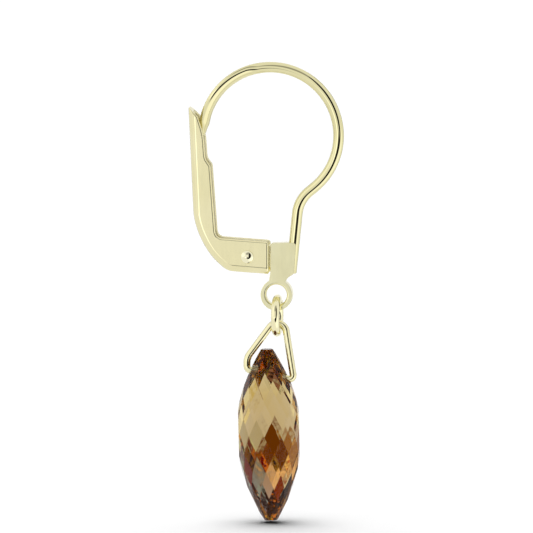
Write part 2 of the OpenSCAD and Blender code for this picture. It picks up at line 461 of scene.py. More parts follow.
class WireWork(Work):
    """Round wire that is drawn out along a path in the front view."""

    def __init__(self, name: str, sides: int) -> None:
        """Takes the name of the wire, and puts nothing on the bench yet.

        Args:
            name: The wire's name.
            sides: How many sides its section has.
        """
        super().__init__(name)
        self.sides = sides
        self.here: Pair = (0.0, 0.0)
        self.heading = 0.0

    def begin(self, here: Pair, heading: float, radius: float) -> None:
        """Starts the wire.

        Args:
            here: Where it starts.
            heading: Which way it goes, in degrees from the right.
            radius: Its radius there.
        """
        self.here = here
        self.heading = heading
        lean = math.radians(90.0 - heading)
        self.start_circle(in_front_view(*here), radius, self.sides, (0.0, lean, 0.0))

    def straight(self, length: float, grow: float = 1.0) -> None:
        """Draws the wire straight on.

        Args:
            length: How far.
            grow: How many times as thick it is at the end.
        """
        there = point_at(self.here, length, self.heading)
        self.pull(in_front_view(*there) - in_front_view(*self.here))
        self.here = there
        if grow != 1.0:
            self.swell(grow, in_front_view(*there))

    def bend(self, way: Turn, degrees: float, radius: float, step: float = 4.0) -> None:
        """Draws the wire round a bend.

        Args:
            way: Which way it turns.
            degrees: How far it turns.
            radius: The bend's radius, to the middle of the wire.
            step: The angle of each step.
        """
        side = 90.0 if way is Turn.LEFT else -90.0
        centre = point_at(self.here, radius, self.heading + side)
        steps = max(FEWEST_STEPS, round(degrees / step))
        self.spin(in_front_view(*centre), (0.0, float(way.value), 0.0), degrees, steps)
        turned = degrees if way is Turn.LEFT else -degrees
        self.here = point_at(centre, radius, self.heading + turned - side)
        self.heading += turned

    def follow(self, corners: list[Pair], rounds: list[float]) -> None:
        """Draws the wire along straight lines with rounded corners.

        Args:
            corners: The corners after the start, the last one being the end.
            rounds: The radius of each corner but the last.
        """
        for corner, after, radius in zip(corners, corners[1:], rounds):
            turn = half_turned(heading_of(corner, after) - self.heading)
            taken = radius * math.tan(math.radians(abs(turn)) / 2.0)
            self.straight(distance(self.here, corner) - taken)
            self.bend(Turn.LEFT if turn > 0 else Turn.RIGHT, abs(turn), radius)
        self.straight(distance(self.here, corners[-1]))


@dataclass(frozen=True)
class Grain:
    """The scale, detail and roughness of a noise pattern."""

    scale: float
    detail: float
    rough: float


@dataclass(frozen=True)
class Press:
    """Where the front of the wire was pressed a little inwards, so that it leans that way."""

    lean: Triple
    starts_x: float
    full_x: float


PRESSED_BEND = Press(lean=(0.34, 0.0, -0.32), starts_x=-0.0009, full_x=-0.0019)


@dataclass(frozen=True)
class GoldFinish:
    """Pale yellow gold, with faint changes of tone and fine polishing marks."""

    name: str
    bright: Triple = (0.87, 0.81, 0.51)
    deep: Triple = (0.835, 0.775, 0.465)
    gloss: float = 0.07
    dull: float = 0.13
    index: float = 1.5
    tone: Grain = Grain(260.0, 3.0, 0.55)
    tone_span: Pair = (0.35, 0.65)
    mark: Grain = Grain(5200.0, 2.0, 0.5)
    mark_span: Pair = (0.3, 0.7)
    mark_depth: float = 0.000004
    mark_strength: float = 0.08
    mark_stretch: Triple = (1.0, 1.0, 0.16)
    press: Press | None = None

    def make(self) -> Material:
        """Builds the material.

        Returns:
            The node material.
        """
        kit = NodeBench.for_material(self.name)
        place = kit.add("ShaderNodeTexCoord").outputs["Object"]
        tone = kit.noise(place, self.tone)
        marks = kit.noise(kit.stretched(place, self.mark_stretch), self.mark)
        shader = kit.add("ShaderNodeBsdfPrincipled")
        shader.inputs["Metallic"].default_value = 1.0
        shader.inputs["IOR"].default_value = self.index
        coloured = kit.ramp(tone, self.tone_span, self.deep, self.bright)
        kit.link(coloured, shader.inputs["Base Color"])
        worn = kit.spread(marks, self.mark_span, (self.gloss, self.dull))
        kit.link(worn, shader.inputs["Roughness"])
        bump = kit.add("ShaderNodeBump")
        bump.inputs["Strength"].default_value = self.mark_strength
        bump.inputs["Distance"].default_value = self.mark_depth
        kit.link(marks, bump.inputs["Height"])
        if self.press is not None:
            kit.link(self._leaning(kit, place), bump.inputs["Normal"])
        kit.link(bump.outputs["Normal"], shader.inputs["Normal"])
        return kit.surface(shader.outputs["BSDF"])

    def _leaning(self, kit: "NodeBench", place: NodeSocket) -> NodeSocket:
        """Leans the surface where the wire was pressed.

        Args:
            kit: The material's node bench.
            place: The place on the piece.

        Returns:
            The leaning surface direction.
        """
        across = kit.dot(place, Vector((1.0, 0.0, 0.0)))
        bend = (self.press.full_x, self.press.starts_x)
        share = kit.spread(across, bend, (1.0, 0.0), True)
        lean = kit.add("ShaderNodeVectorMath")
        lean.operation = "MULTIPLY_ADD"
        lean.inputs[0].default_value = self.press.lean
        kit.link(share, lean.inputs[1])
        kit.link(kit.add("ShaderNodeNewGeometry").outputs["Normal"], lean.inputs[2])
        unit = kit.add("ShaderNodeVectorMath")
        unit.operation = "NORMALIZE"
        kit.link(lean.outputs["Vector"], unit.inputs[0])
        return unit.outputs["Vector"]


@dataclass(frozen=True)
class QuartzFinish:
    """Smoky quartz: clear, with brown that deepens with the stone's thickness."""

    name: str
    pale: Triple = (1.0, 1.0, 1.0)
    smoke: Triple = (0.95, 0.92, 0.88)
    gloss: float = 0.0
    dull: float = 0.015
    index: float = 1.544
    mirror_tint: Triple = (0.16, 0.16, 0.18)
    zone: Grain = Grain(240.0, 2.0, 0.5)
    zone_stretch: Triple = (1.0, 1.0, 0.4)
    tone_span: Pair = (0.35, 0.6)
    worn_span: Pair = (0.3, 0.7)
    depth_colour: Triple = (0.85, 0.71, 0.175)
    depth_density: float = 400.0
    wave: Grain = Grain(1700.0, 1.0, 0.4)
    wave_height: float = 0.0000075

    def make(self) -> Material:
        """Builds the material.

        Returns:
            The node material.
        """
        kit = NodeBench.for_material(self.name)
        place = kit.add("ShaderNodeTexCoord").outputs["Object"]
        zones = kit.noise(kit.stretched(place, self.zone_stretch), self.zone)
        shader = kit.add("ShaderNodeBsdfPrincipled")
        shader.inputs["Transmission Weight"].default_value = 1.0
        shader.inputs["IOR"].default_value = self.index
        shader.inputs["Specular Tint"].default_value = (*self.mirror_tint, 1.0)
        coloured = kit.ramp(zones, self.tone_span, self.smoke, self.pale)
        kit.link(coloured, shader.inputs["Base Color"])
        worn = kit.spread(zones, self.worn_span, (self.gloss, self.dull))
        kit.link(worn, shader.inputs["Roughness"])
        waves = kit.add("ShaderNodeBump")
        waves.inputs["Distance"].default_value = self.wave_height
        kit.link(kit.noise(place, self.wave), waves.inputs["Height"])
        kit.link(waves.outputs["Normal"], shader.inputs["Normal"])
        depth = kit.add("ShaderNodeVolumeAbsorption")
        depth.inputs["Color"].default_value = (*self.depth_colour, 1.0)
        depth.inputs["Density"].default_value = self.depth_density
        return kit.surface(shader.outputs["BSDF"], depth.outputs["Volume"])


class NodeBench:
    """Builds one node tree, a node at a time."""

    def __init__(self, tree: NodeTree, owner: Material | World) -> None:
        """Takes an empty tree and what it belongs to."""
        self.tree = tree
        self.owner = owner

    @classmethod
    def _clear(cls, owner: Material | World) -> "NodeBench":
        """Starts with an empty tree.

        Args:
            owner: The new material or world.

        Returns:
            Its bench.
        """
        owner.use_nodes = True
        owner.node_tree.nodes.clear()
        return cls(owner.node_tree, owner)

    @classmethod
    def for_material(cls, name: str) -> "NodeBench":
        """Starts a material."""
        return cls._clear(bpy.data.materials.new(name))

    @classmethod
    def for_world(cls, name: str) -> "NodeBench":
        """Starts a world."""
        return cls._clear(bpy.data.worlds.new(name))

    def add(self, kind: str) -> Node:
        """Adds a node of this type."""
        return self.tree.nodes.new(kind)

    def link(self, start: NodeSocket, end: NodeSocket) -> None:
        """Joins an output to an input."""
        self.tree.links.new(start, end)

    def put(self, value: object, socket: NodeSocket) -> None:
        """Links a socket to an input, or sets the input to a value.

        Args:
            value: An output socket, a number or a vector.
            socket: The input.
        """
        if isinstance(value, NodeSocket):
            self.link(value, socket)
        else:
            socket.default_value = value

    def maths(self, operation: str, *values: object) -> NodeSocket:
        """Adds a maths node.

        Args:
            operation: Blender's name for the operation.
            *values: Numbers or sockets, in order.

        Returns:
            The result.
        """
        node = self.add("ShaderNodeMath")
        node.operation = operation
        for value, socket in zip(values, node.inputs):
            self.put(value, socket)
        return node.outputs["Value"]

    def dot(self, vector: NodeSocket, axis: Vector) -> NodeSocket:
        """Measures a vector along an axis.

        Args:
            vector: The vector.
            axis: The axis's direction.

        Returns:
            How far the vector reaches along it.
        """
        node = self.add("ShaderNodeVectorMath")
        node.operation = "DOT_PRODUCT"
        self.link(vector, node.inputs[0])
        node.inputs[1].default_value = axis
        return node.outputs["Value"]

    def noise(self, place: NodeSocket, grain: Grain) -> NodeSocket:
        """Adds a noise texture.

        Args:
            place: Where the pattern lies.
            grain: How coarse it is.

        Returns:
            The noise, about 0.5 on average.
        """
        node = self.add("ShaderNodeTexNoise")
        self.link(place, node.inputs["Vector"])
        node.inputs["Scale"].default_value = grain.scale
        node.inputs["Detail"].default_value = grain.detail
        node.inputs["Roughness"].default_value = grain.rough
        return node.outputs["Fac"]

    def stretched(self, place: NodeSocket, scale: Triple) -> NodeSocket:
        """Stretches a pattern along the axes.

        Args:
            place: Where the pattern lies.
            scale: How much finer it is along X, Y and Z.

        Returns:
            The stretched place.
        """
        node = self.add("ShaderNodeMapping")
        self.link(place, node.inputs["Vector"])
        node.inputs["Scale"].default_value = scale
        return node.outputs["Vector"]

    def spread(self, value: NodeSocket, span: Pair, new_span: Pair,
            smooth: bool = False) -> NodeSocket:
        """Moves a range of values to another range.

        Args:
            value: The value.
            span: The range's start and end.
            new_span: The new range's start and end.
            smooth: Whether the ends are eased.

        Returns:
            The moved value, held inside the new range.
        """
        node = self.add("ShaderNodeMapRange")
        node.interpolation_type = "SMOOTHSTEP" if smooth else "LINEAR"
        self.link(value, node.inputs["Value"])
        sockets = ("From Min", "From Max", "To Min", "To Max")
        for name, number in zip(sockets, (*span, *new_span)):
            node.inputs[name].default_value = number
        return node.outputs["Result"]

    def ramp(self, value: NodeSocket, span: Pair, dark: Triple, light: Triple) -> NodeSocket:
        """Turns a value into a colour between two.

        Args:
            value: The value.
            span: Where the first colour ends and the second one starts.
            dark: The first colour.
            light: The second colour.

        Returns:
            The colour.
        """
        node = self.add("ShaderNodeValToRGB")
        self.link(value, node.inputs["Fac"])
        for stop, position, colour in zip(node.color_ramp.elements, span, (dark, light)):
            stop.position = position
            stop.color = (*colour, 1.0)
        return node.outputs["Color"]

    def bands(self, height: NodeSocket, colours: tuple[Band, ...]) -> NodeSocket:
        """Turns a height into a colour.

        Args:
            height: The height from 0 at the lowest to 1 at the highest.
            colours: An elevation in degrees and its colour, from the lowest up.

        Returns:
            The colour.
        """
        node = self.add("ShaderNodeValToRGB")
        self.link(height, node.inputs["Fac"])
        stops = node.color_ramp.elements
        stops.remove(stops[1])
        for number, (rise, *colour) in enumerate(colours):
            share = (rise + 90.0) / 180.0
            stop = stops[0] if number == 0 else stops.new(share)
            stop.position = share
            stop.color = (*colour, 1.0)
        return node.outputs["Color"]

    def blend(self, share: NodeSocket, first: NodeSocket, second: NodeSocket) -> NodeSocket:
        """Goes from one colour to another.

        Args:
            share: 0 for the first colour, 1 for the second.
            first: The first colour.
            second: The second colour.

        Returns:
            The colour between them.
        """
        node = self.add("ShaderNodeMix")
        node.data_type = "RGBA"
        self.link(share, node.inputs[0])
        for colour, number in zip((first, second), MIX_COLOUR_INPUTS):
            self.link(colour, node.inputs[number])
        return node.outputs[MIX_COLOUR_OUTPUT]

    def tone(self, colour: Triple) -> NodeSocket:
        """Adds a plain colour.

        Args:
            colour: The colour.

        Returns:
            Its socket.
        """
        node = self.add("ShaderNodeRGB")
        node.outputs["Color"].default_value = (*colour, 1.0)
        return node.outputs["Color"]

    def surface(self, shader: NodeSocket, volume: NodeSocket | None = None) -> Material:
        """Puts the shader on the surface, and gives the material.

        Args:
            shader: The surface's shader.
            volume: The inside's shader, if it has one.

        Returns:
            The material.
        """
        output = self.add("ShaderNodeOutputMaterial")
        self.link(shader, output.inputs["Surface"])
        if volume is not None:
            self.link(volume, output.inputs["Volume"])
        return self.owner


def settle(piece: Object, body: Body, slot: Slot, node: str, *finishes: Material) -> Object:
    """Gives a piece its finishes and its place in the part.

    Args:
        piece: The finished mesh.
        body: The body that it rides on.
        slot: The record's material slot; not used.
        node: The solid that it stands for.
        *finishes: Its materials, in the order of its material slots.

    Returns:
        The piece.
    """
    for number, finish in enumerate(finishes):
        if number < len(piece.data.materials):
            piece.data.materials[number] = finish
        else:
            piece.data.materials.append(finish)
    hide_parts(node)
    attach(piece, body.value)
    LOG.info("%s: %d faces, on %s", piece.name, len(piece.data.polygons), body.value)
    return piece


@dataclass
class EarHook:
    """The ear wire, and the flat front plate with its hinge lug and eyelet."""

    wire_r: float = 0.41
    wire_sides: int = 40
    hook_r: float = 5.2
    hook_step: float = 2.0
    taper_angle: float = 171.0
    tip_len: float = 0.7
    tip_r: float = 0.24
    tip_rings: tuple[float, ...] = (15.0, 35.0, 55.0, 72.0, 90.0)
    taper_share: float = 0.6
    cross_lean: float = 50.0
    cross_len: float = 0.57
    reverse_r: float = 2.5
    reverse_step: float = 3.0
    leg_lean: float = 5.8
    leg_bottom: float = -15.4
    leg_end_round: float = 0.1
    leg_end_steps: int = 4
    plate_t: float = 0.88
    right_corners: list[Triple] = field(default_factory=lambda: [
        (1.99, -13.0, 0.3), (1.83, -15.42, 0.16), (1.34, -15.7, 0.14), (1.2, -15.92, 0.2)])
    left_corners: list[Triple] = field(default_factory=lambda: [
        (-0.1, -15.85, 0.12), (0.0, -15.4, 0.2), (0.0, -13.08, 0.18)])
    ring_centre: Pair = (0.46, -17.06)
    ring_r: float = 1.21
    ring_hole_r: float = 0.8
    ring_round: float = 0.15
    neck_right_x: float = 1.14
    outline_steps: int = 44
    hole_steps: int = 36
    rim_steps: int = 5
    hole_rim_reach: float = 0.05
    outer_rim_reach: float = 0.25
    lug_centre: Pair = HINGE_AT
    lug_r: float = 0.86
    lug_hole_r: float = 0.33
    arm_bottom: float = -13.95
    arm_end_x: float = 0.3
    lug_t: float = 0.82
    lug_round: float = 0.06
    lug_round_steps: int = 3
    lug_steps: int = 56
    bore_len: float = 3.0
    bore_sides: int = 64
    edge_round: float = 0.22
    flat_side: float = 0.99
    rim_bend: float = 1.2

    def build_wire(self) -> Object:
        """Draws the wire out from its tip, over the ear and down to the plate.

        Returns:
            The wire.
        """
        hook_centre = (0.0, self.wire_r - self.hook_r)
        taper_start = point_at(hook_centre, self.hook_r, self.taper_angle)
        up = self.taper_angle - 90.0
        tip = point_at(taper_start, self.tip_len, up + 180.0)
        rings = [(-self.tip_r * math.cos(math.radians(a)), self.tip_r * math.sin(math.radians(a)))
            for a in self.tip_rings]
        wire = WireWork("ear_wire", self.wire_sides)
        wire.begin(point_at(tip, rings[0][0], up), up, rings[0][1])
        for ring, after in zip(rings, rings[1:]):
            wire.straight(after[0] - ring[0], after[1] / ring[1])
        wire.straight(self.tip_len * self.taper_share, 0.5 * (1.0 + self.wire_r / self.tip_r))
        middle_r = 0.5 * (self.tip_r + self.wire_r)
        wire.straight(self.tip_len * (1.0 - self.taper_share), self.wire_r / middle_r)
        sweep = self.taper_angle + self.cross_lean
        wire.bend(Turn.RIGHT, sweep, self.hook_r, self.hook_step)
        wire.straight(self.cross_len)
        sweep = self.cross_lean - self.leg_lean
        wire.bend(Turn.LEFT, sweep, self.reverse_r, self.reverse_step)
        leg = (wire.here[1] - self.leg_bottom) / math.cos(math.radians(self.leg_lean))
        wire.straight(leg)
        wire.cap_ends()
        end_top = self.leg_bottom + self.leg_end_round
        wire.round_ends(self.leg_end_round, self.leg_end_steps, end_top)
        return wire.finish(SMOOTH_WIRE)

    def build_plate(self) -> Object:
        """Draws the plate and its eyelet in two halves, joins and thickens them, and rounds them.

        Returns:
            The plate.
        """
        plate = self._right_half()
        plate.join(self._left_half())
        plate.tidy()
        plate.pull_all(Vector((0.0, self.plate_t, 0.0)))
        plate.pick(Pick.EDGES, self._is_ring_rim)
        plate.round_edges(self.ring_round, self.rim_steps)
        plate.pick(Pick.EDGES, self._is_plate_rim)
        plate.round_edges(self.edge_round, self.rim_steps)
        return plate.finish(SMOOTH_SHEET)

    @property
    def _front(self) -> float:
        """Gives the Y of the plate's front face."""
        return -self.plate_t / 2.0

    def _start_half(self, name: str) -> Work:
        """Starts half of the plate's face at its top, over the eyelet's middle.

        Args:
            name: The half's name.

        Returns:
            The half.
        """
        half = Work(name)
        half.start_point(in_front_view(*self._top_middle(), self._front))
        return half

    def _close_half(self, half: Work, corners: list[Triple]) -> None:
        """Closes half of the plate's outline, rounds its corners and fills it.

        Args:
            half: The half, drawn back to the eyelet's middle.
            corners: The corners to round.
        """
        half.draw_to(*self._top_middle(), self._front)
        half.tidy()
        half.round_outline(corners)
        half.fill_outline()

    def _spin_half(self, half: Work, round_to: Turn, degrees: float, steps: int) -> None:
        """Draws an arc of the eyelet.

        Args:
            half: The half that is drawn.
            round_to: Which way round the eyelet's middle it goes.
            degrees: How far it goes.
            steps: How many sides it has.
        """
        centre = in_front_view(*self.ring_centre, self._front)
        half.spin(centre, (0.0, float(round_to.value), 0.0), degrees, steps)

    def _right_half(self) -> Work:
        """Draws the face of the plate and eyelet to the right of the eyelet's middle.

        Returns:
            The half.
        """
        half = self._start_half("front_plate")
        middle, centre_z = self.ring_centre
        for across, up, _ in self.right_corners:
            half.draw_to(across, up, self._front)
        right = math.degrees(math.acos((self.neck_right_x - middle) / self.ring_r))
        half.draw_to(*point_at(self.ring_centre, self.ring_r, right), self._front)
        self._spin_half(half, Turn.RIGHT, 90.0 + right, self.outline_steps)
        half.draw_to(middle, centre_z - self.ring_hole_r, self._front)
        self._spin_half(half, Turn.LEFT, 180.0, self.hole_steps)
        self._close_half(half, self.right_corners)
        return half

    def _left_half(self) -> Work:
        """Draws the face of the plate and eyelet to the left of the eyelet's middle.

        Returns:
            The half.
        """
        half = self._start_half("left_half")
        middle, centre_z = self.ring_centre
        half.draw_to(middle, centre_z + self.ring_hole_r, self._front)
        self._spin_half(half, Turn.LEFT, 180.0, self.hole_steps)
        half.draw_to(middle, centre_z - self.ring_r, self._front)
        left = math.degrees(math.acos((self.left_corners[0][0] - middle) / self.ring_r))
        self._spin_half(half, Turn.RIGHT, 270.0 - left, self.outline_steps)
        for across, up, _ in self.left_corners:
            half.draw_to(across, up, self._front)
        self._close_half(half, self.left_corners)
        return half

    def _top_middle(self) -> Pair:
        """Finds the point of the plate's top edge over the middle of the eyelet.

        Returns:
            The point.
        """
        left = self.left_corners[-1]
        right = self.right_corners[0]
        share = (self.ring_centre[0] - left[0]) / (right[0] - left[0])
        return (self.ring_centre[0], left[1] + share * (right[1] - left[1]))

    def build_lug(self) -> Object:
        """Draws the arm and the round lug that the lever turns on, and drills the lug.

        Returns:
            The lug.
        """
        lug = Work("hinge_lug")
        front = -self.lug_t / 2.0
        centre_x, centre_z = self.lug_centre
        start = math.degrees(math.asin((self.arm_bottom - centre_z) / self.lug_r))
        touch = point_at(self.lug_centre, self.lug_r, start)
        lug.start_point(in_front_view(self.arm_end_x, centre_z + self.lug_r, front))
        lug.draw_to(self.arm_end_x, self.arm_bottom, front)
        lug.draw_to(touch[0], touch[1], front)
        centre = in_front_view(centre_x, centre_z, front)
        lug.spin(centre, (0.0, -1.0, 0.0), 270.0 + start, self.lug_steps)
        lug.draw_to(self.arm_end_x, centre_z + self.lug_r, front)
        lug.tidy()
        lug.fill_outline()
        lug.pull_all(Vector((0.0, self.lug_t, 0.0)))
        lug.pick(Pick.EDGES, lambda middle, edge: self._is_rim(edge))
        lug.round_edges(self.lug_round, self.lug_round_steps)
        lug.cut_with(cross_bore(self.lug_centre, self.lug_hole_r, self.bore_len, self.bore_sides))
        return lug.finish(SMOOTH_SHEET)

    def _is_ring_rim(self, middle: Vector, edge: bmesh.types.BMEdge) -> bool:
        """Tells whether an edge is the rim of the eyelet's hole."""
        reach = distance((middle.x, middle.z), self.ring_centre)
        return self._is_rim(edge) and reach < self.ring_hole_r + self.hole_rim_reach

    def _is_plate_rim(self, middle: Vector, edge: bmesh.types.BMEdge) -> bool:
        """Tells whether an edge is the outer rim of a flat side."""
        reach = distance((middle.x, middle.z), self.ring_centre)
        return self._is_rim(edge) and reach > self.ring_hole_r + self.outer_rim_reach

    def _is_rim(self, edge: bmesh.types.BMEdge) -> bool:
        """Tells whether an edge is between a flat side and a wall that stands on it."""
        flats = [abs(face.normal.y) > self.flat_side for face in edge.link_faces]
        return flats in ([True, False], [False, True]) and edge.calc_face_angle(0.0) > self.rim_bend


@dataclass
class Lever:
    """The folded channel that closes over the tip of the wire."""

    width: float = 1.72
    sheet_t: float = 0.36
    fold_r: float = 0.56
    fold_steps: int = 8
    back_corners: list[Triple] = field(default_factory=lambda: [
        (-6.32, -2.5, 0.0), (-5.83, -13.07, 2.4), (-3.337, -15.261, 0.4)])
    back_bend_steps: int = 14
    top_cut: Pair = (-6.315, -2.64)
    top_cut_way: Pair = (0.7, 0.71)
    web_end_x: float = -1.3
    channel_width: float = 1.0
    slot_room: float = 1.0
    slot_height: float = 1.8
    bottom_right: Pair = (-0.1, -15.479)
    edge_corners: list[Triple] = field(default_factory=lambda: [
        (-0.1, -12.95, 0.24), (-4.16, -12.7, 0.45), (-4.57, -7.19, 0.08), (-4.96, -6.64, 0.2),
        (-5.09, -4.8, 0.55), (-5.6, -3.22, 0.12)])
    cut_round: float = 0.16
    cut_steps: int = 4
    cut_bend: float = 35.0
    wall_side: float = 0.9
    back_way: Triple = (-0.7, 0.0, -0.7)
    back_share: float = 0.3
    rivet_centre: Pair = HINGE_AT
    rivet_hole_r: float = 0.33
    bore_len: float = 4.0
    bore_sides: int = 48

    def build(self) -> Object:
        """Draws one wall, copies it, joins the two with the back and folds, thickens and rounds.

        Returns:
            The channel.
        """
        lever = Work("lever_channel")
        near = -self.width / 2.0
        first, *others = self.back_corners
        lever.start_point(in_front_view(first[0], first[1], near))
        for across, up, _ in others:
            lever.draw_to(across, up, near)
        lever.draw_to(self.bottom_right[0], self.bottom_right[1], near)
        for across, up, _ in self.edge_corners:
            lever.draw_to(across, up, near)
        lever.draw_to(first[0], first[1], near)
        lever.tidy()
        lever.round_outline([others[0]], self.back_bend_steps)
        lever.round_outline([*others[1:], *self.edge_corners])
        lever.fill_outline()
        lever.pick_all()
        bpy.ops.mesh.duplicate_move(TRANSFORM_OT_translate={"value": (0.0, self.width, 0.0)})
        lever.pick(Pick.EDGES, self._is_back)
        bpy.ops.mesh.bridge_edge_loops()
        lever.tidy()
        lever.pick(Pick.EDGES, self._is_fold)
        bpy.ops.mesh.bevel(offset=self.fold_r, segments=self.fold_steps, affect="EDGES",
            clamp_overlap=False)
        self._face_away(lever)
        lever.add_slots(2)
        lever.apply("SOLIDIFY", thickness=self.sheet_t, offset=-1.0, use_even_offset=True,
            material_offset=1)
        bpy.ops.object.mode_set(mode="EDIT")
        self._cut_top(lever)
        lever.pick(Pick.EDGES, self._is_cut_edge)
        lever.round_edges(self.cut_round, self.cut_steps)
        lever.cut_with(self._slot_cutter())
        lever.cut_with(
            cross_bore(self.rivet_centre, self.rivet_hole_r, self.bore_len, self.bore_sides))
        return lever.finish(SMOOTH_SHEET)

    def _cut_top(self, lever: Work) -> None:
        """Cuts the back's upper end along the slope of the walls.

        Args:
            lever: The channel, open for editing.
        """
        lever.pick_all()
        bpy.ops.mesh.bisect(plane_co=in_front_view(*self.top_cut), clear_outer=True,
            plane_no=in_front_view(*self.top_cut_way), use_fill=True)
        lever.tidy()

    def _slot_cutter(self) -> Work:
        """Makes the block that cuts the slot in the bottom web, where the plate passes.

        Returns:
            The block.
        """
        block = Work("slot_cutter")
        width = self.bottom_right[0] - self.web_end_x + self.slot_room
        middle = self.web_end_x + width / 2.0
        foot = in_front_view(middle, self.bottom_right[1] - self.slot_room)
        block.start_sheet(foot, width, self.channel_width)
        block.pull(Vector((0.0, 0.0, self.slot_height)))
        block.face_out()
        return block

    def _is_back(self, middle: Vector, edge: bmesh.types.BMEdge) -> bool:
        """Tells whether an outline edge runs along the back or the bottom.

        Args:
            middle: The edge's middle; not used.
            edge: The edge.

        Returns:
            Whether it does.
        """
        face = edge.link_faces[0]
        loop = next(l for l in face.loops if l.edge == edge)
        along = loop.link_loop_next.vert.co - loop.vert.co
        outward = along.cross(face.normal).normalized()
        return outward.dot(Vector(self.back_way)) > self.back_share

    def _is_fold(self, middle: Vector, edge: bmesh.types.BMEdge) -> bool:
        """Tells whether an edge is between a wall and the back."""
        walls = [abs(face.normal.y) > self.wall_side for face in edge.link_faces]
        return walls in ([True, False], [False, True])

    def _face_away(self, lever: Work) -> None:
        """Turns the open sheet's faces away from the channel.

        Args:
            lever: The sheet, open for editing.
        """
        lever.face_out()
        shape = bmesh.from_edit_mesh(lever.piece.data)
        near = next(f for f in shape.faces if abs(f.normal.y) > self.wall_side)
        here = lever.piece.matrix_world @ near.calc_center_median()
        if near.normal.y * here.y < 0.0:
            bpy.ops.mesh.flip_normals()

    def _is_cut_edge(self, middle: Vector, edge: bmesh.types.BMEdge) -> bool:
        """Tells whether an edge is a sharp one, left by the cut of the sheet."""
        return edge.calc_face_angle(0.0) > math.radians(self.cut_bend)


@dataclass
class Rivet:
    """The hinge pin, with a domed head on each side of the lever."""

    centre: Pair = HINGE_AT
    shank_r: float = 0.3
    head_r: float = 0.51
    head_h: float = 0.24
    head_start: float = 0.89
    dome_steps: int = 12
    turn_steps: int = 64
    rim_round: float = 0.03
    rim_steps: int = 2
    rim_bend: float = 0.8
    rim_reach: float = 0.02

    def build(self) -> Object:
        """Draws half of the rivet's section and spins it round the pin's middle.

        Returns:
            The rivet.
        """
        across, up = self.centre
        dome_r = (self.head_r ** 2 + self.head_h ** 2) / (2.0 * self.head_h)
        opening = math.degrees(math.asin(self.head_r / dome_r))
        pole = self.head_start + self.head_h
        rivet = Work("hinge_rivet")
        rivet.start_point(in_front_view(across, up, -pole))
        middle = in_front_view(across, up, dome_r - pole)
        rivet.spin(middle, (0.0, 0.0, -1.0), opening, self.dome_steps)
        rivet.draw_to(across + self.shank_r, up, -self.head_start)
        rivet.draw_to(across + self.shank_r, up, self.head_start)
        rivet.draw_to(across + self.head_r, up, self.head_start)
        middle = in_front_view(across, up, pole - dome_r)
        rivet.spin(middle, (0.0, 0.0, -1.0), opening, self.dome_steps)
        rivet.pick_all()
        rivet.spin(in_front_view(across, up), (0.0, 1.0, 0.0), 360.0, self.turn_steps)
        rivet.tidy()
        rivet.pick(Pick.EDGES, lambda middle, edge: edge.calc_face_angle(0.0) > self.rim_bend
            and distance((middle.x, middle.z), self.centre) > self.head_r - self.rim_reach)
        rivet.round_edges(self.rim_round, self.rim_steps)
        return rivet.finish(SMOOTH_LINK)


@dataclass
class JumpRing:
    """The round ring of wire that hangs in the eyelet, with a hairline joint at its back."""

    centre: Pair = (0.48, -18.69)
    ring_r: float = 1.3
    wire_r: float = 0.32
    sides: int = 36
    turn_steps: int = 90
    joint_gap: float = 0.9
    joint_angle: float = 50.0
    joint_round: float = 0.03
    joint_steps: int = 2

    def build(self) -> Object:
        """Spins the wire's section nearly all the way round, and rounds the joint's two ends.

        Returns:
            The ring.
        """
        across, up = self.centre
        turn = math.radians(self.joint_angle)
        start = Vector((across, self.ring_r * math.cos(turn), up + self.ring_r * math.sin(turn)))
        ring = Work("jump_ring_wire")
        ring.start_circle(start, self.wire_r, self.sides, (turn, 0.0, 0.0))
        sweep = 360.0 - self.joint_gap
        ring.spin(in_front_view(across, up), (1.0, 0.0, 0.0), sweep, self.turn_steps)
        ring.cap_ends()
        ring.round_ends(self.joint_round, self.joint_steps)
        return ring.finish(SMOOTH_LINK)


@dataclass(frozen=True)
class DrillLine:
    """The line that the stone's two holes are drilled along, where the bail's pins lie."""

    centre: Pair = (-0.06, -23.266)
    tilt: float = 12.1

    def at(self, across: float) -> Pair:
        """Gives the line's point at a place across."""
        fall = math.tan(math.radians(self.tilt))
        return (across, self.centre[1] - (across - self.centre[0]) * fall)


